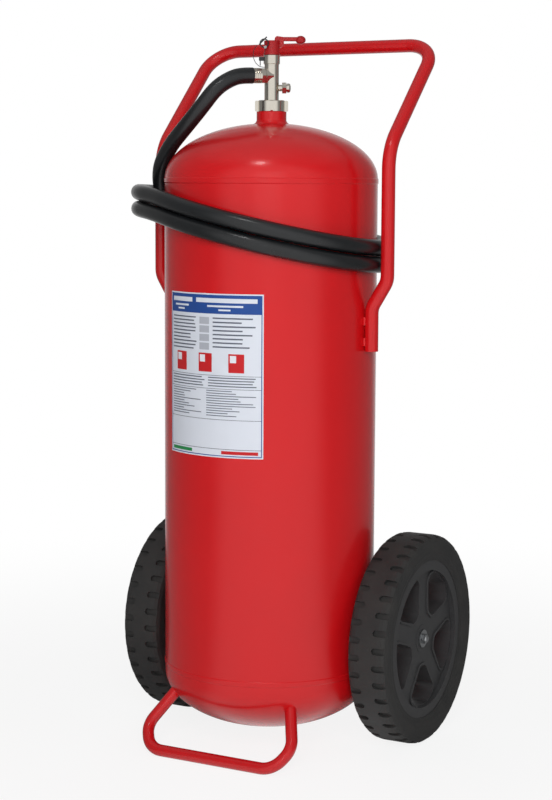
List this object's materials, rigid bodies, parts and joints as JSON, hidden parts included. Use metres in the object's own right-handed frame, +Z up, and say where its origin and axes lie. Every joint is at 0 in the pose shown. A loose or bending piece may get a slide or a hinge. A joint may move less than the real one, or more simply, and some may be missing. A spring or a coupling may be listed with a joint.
{
  "type": "wheeled fire extinguisher",
  "caption": "Wheeled dry powder fire extinguisher: red pressure vessel on two wheels with push handle, foot loop, lever valve, wound hose and discharge gun.",
  "frame": {"origin": "floor level under the middle of the part's box, which is between the foot loop's front and the wheels' back", "axes": "+Z up along the vessel, -Y towards the front with the label and the foot loop, +X to the right seen from the front"},
  "size_m": [0.574, 0.55, 1.3385],
  "materials": {
    "red_enamel": "gloss enamel",
    "red_tube_enamel": "gloss enamel",
    "red_cast": "satin enamel on cast metal",
    "nickel_brass": "nickel plated",
    "zinc_steel": "zinc plated",
    "spring_steel": "bright wire",
    "black_wire": "dark wire",
    "seal_rubber": "matt",
    "hose_rubber": "satin",
    "tyre_rubber": "matt",
    "rim_plastic": "moulded, fine grain",
    "bush_plastic": "moulded",
    "label_film": "printed film",
    "powder": "loose powder",
    "siphon_plastic": "extruded",
    "gun_metal": "black coated",
    "gun_lever_red": "powder coated",
    "gasket_fibre": "matt"
  },
  "bodies": {
    "root": {"vessel_barrel": "red_enamel", "vessel_top_dome": "red_enamel", "vessel_bottom_dome": "red_enamel", "seam_welds": "red_enamel", "neck_boss": "red_enamel", "neck_weld": "red_enamel", "neck_gasket": "gasket_fibre", "powder_charge": "powder", "siphon_tube": "siphon_plastic", "label_plate": "label_film", "push_handle": "red_tube_enamel", "handle_welds": "red_tube_enamel", "foot_loop": "red_tube_enamel", "ring_nut": "nickel_brass", "valve_body": "nickel_brass", "valve_collar": "nickel_brass", "spring_rest": "nickel_brass", "stem_seal": "seal_rubber", "stem_spring": "spring_steel", "tether_lug": "black_wire", "valve_cap": "red_cast", "lever_pivot_pin": "red_cast", "pin_tether": "black_wire", "relief_valve": "nickel_brass", "outlet_nut": "nickel_brass", "hose_ferrule": "nickel_brass", "hose_drop": "hose_rubber", "hose_winding": "hose_rubber", "hose_tail": "hose_rubber", "gun_ferrule": "zinc_steel", "gun_body": "gun_metal", "gun_lever_pin": "zinc_steel", "gun_nozzle": "gun_metal", "gun_holder": "red_tube_enamel", "axle_bracket_right": "red_tube_enamel", "axle_stub_right": "zinc_steel", "hub_bolt_right": "zinc_steel", "hub_washer_right": "zinc_steel", "axle_bracket_left": "red_tube_enamel", "axle_stub_left": "zinc_steel", "hub_bolt_left": "zinc_steel", "hub_washer_left": "zinc_steel"},
    "wheel_right": {"wheel_rim_right": "rim_plastic", "wheel_tyre_right": "tyre_rubber", "hub_bush_right": "bush_plastic"},
    "wheel_left": {"wheel_rim_left": "rim_plastic", "wheel_tyre_left": "tyre_rubber", "hub_bush_left": "bush_plastic"},
    "lever": {"valve_lever": "red_cast"},
    "stem": {"valve_stem": "nickel_brass", "poppet_seal": "seal_rubber"},
    "pin": {"safety_pin": "zinc_steel", "pull_ring": "black_wire"},
    "gun_trigger": {"gun_lever": "gun_lever_red"}
  },
  "joints": [
    {"name": "wheel_right_spin", "type": "hinge", "parent": "root", "child": "wheel_right", "pos_m": [0.243, 0.075, 0.2], "axis": [1, 0, 0], "continuous": true},
    {"name": "wheel_left_spin", "type": "hinge", "parent": "root", "child": "wheel_left", "pos_m": [-0.243, 0.075, 0.2], "axis": [1, 0, 0], "continuous": true},
    {"name": "valve_lever_lift", "type": "hinge", "parent": "root", "child": "lever", "pos_m": [0, -0.044, 1.317], "axis": [0.5, -0.866, 0], "range_deg": [0, 80]},
    {"name": "valve_stem_press", "type": "slide", "parent": "root", "child": "stem", "axis": [0, 0, -1], "range_m": [0, 0.0045], "deforming": ["stem_spring"]},
    {"name": "safety_pin_pull", "type": "slide", "parent": "root", "child": "pin", "axis": [0.5, -0.866, 0], "range_m": [0, 0.045]},
    {"name": "gun_lever_squeeze", "type": "hinge", "parent": "root", "child": "gun_trigger", "pos_m": [-0.11994, 0.20248, 0.681], "axis": [-0.8992, -0.4376, 0], "range_deg": [0, 7.5], "stiffness_Nm_per_rad": 0.8}
  ],
  "couplings": [
    {"joint": "valve_stem_press", "follows": "valve_lever_lift", "m_per_rad": 0.002946}
  ]
}
